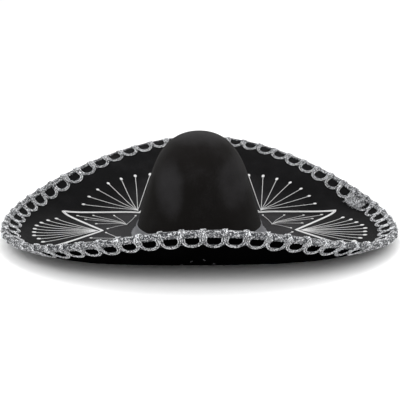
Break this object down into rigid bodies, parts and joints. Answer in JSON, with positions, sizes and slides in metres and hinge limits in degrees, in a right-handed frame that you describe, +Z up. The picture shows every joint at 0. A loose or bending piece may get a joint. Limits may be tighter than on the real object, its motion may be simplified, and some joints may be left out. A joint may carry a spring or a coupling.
{
  "type": "sombrero",
  "caption": "Wide-brimmed felt sombrero with a tall dome crown, curled brim, silver looped rim braid and a corded star with fans of stitched rays.",
  "frame": {"origin": "on the floor, centred under the brim's outline, at the level of the flat ring of the brim's underside", "axes": "+Z up through the crown, +X across the wearer (the widest way of the brim), -Y to the front of the hat"},
  "size_m": [0.5773, 0.4989, 0.156],
  "materials": {
    "under_felt": "matte pressed felt",
    "brim_felt": "matte pressed felt",
    "crown_felt": "matte brushed felt",
    "edge_wire": "drawn wire",
    "edge_braid": "metallised silver braid",
    "loop_gimp": "metallised silver gimp",
    "braid_tail": "frayed metallised braid",
    "band_lace": "dull silver lace",
    "lining_cloth": "woven satin lining",
    "sweat_cloth": "ribbed cotton band",
    "star_cord": "white satin-stitched cord",
    "ray_stitch": "silver-white satin stitch"
  },
  "bodies": {
    "root": {"brim_under_felt": "under_felt", "brim_upper_felt": "brim_felt", "rim_wire": "edge_wire", "edge_braid": "edge_braid", "upper_loop_trim": "loop_gimp", "lower_loop_trim": "loop_gimp", "trim_tail": "braid_tail", "crown_felt": "crown_felt", "crown_lining": "lining_cloth", "sweatband": "sweat_cloth", "hat_band": "band_lace", "star_cord_upper": "star_cord", "star_cord_under": "star_cord", "fan_right": "ray_stitch", "fan_back_right": "ray_stitch", "tip_rays_back_right": "ray_stitch", "fan_front_right": "ray_stitch", "tip_rays_front_right": "ray_stitch", "fan_left": "ray_stitch", "fan_back_left": "ray_stitch", "tip_rays_back_left": "ray_stitch", "fan_front_left": "ray_stitch", "tip_rays_front_left": "ray_stitch", "tip_rays_back": "ray_stitch", "tip_rays_front": "ray_stitch"}
  },
  "joints": []
}
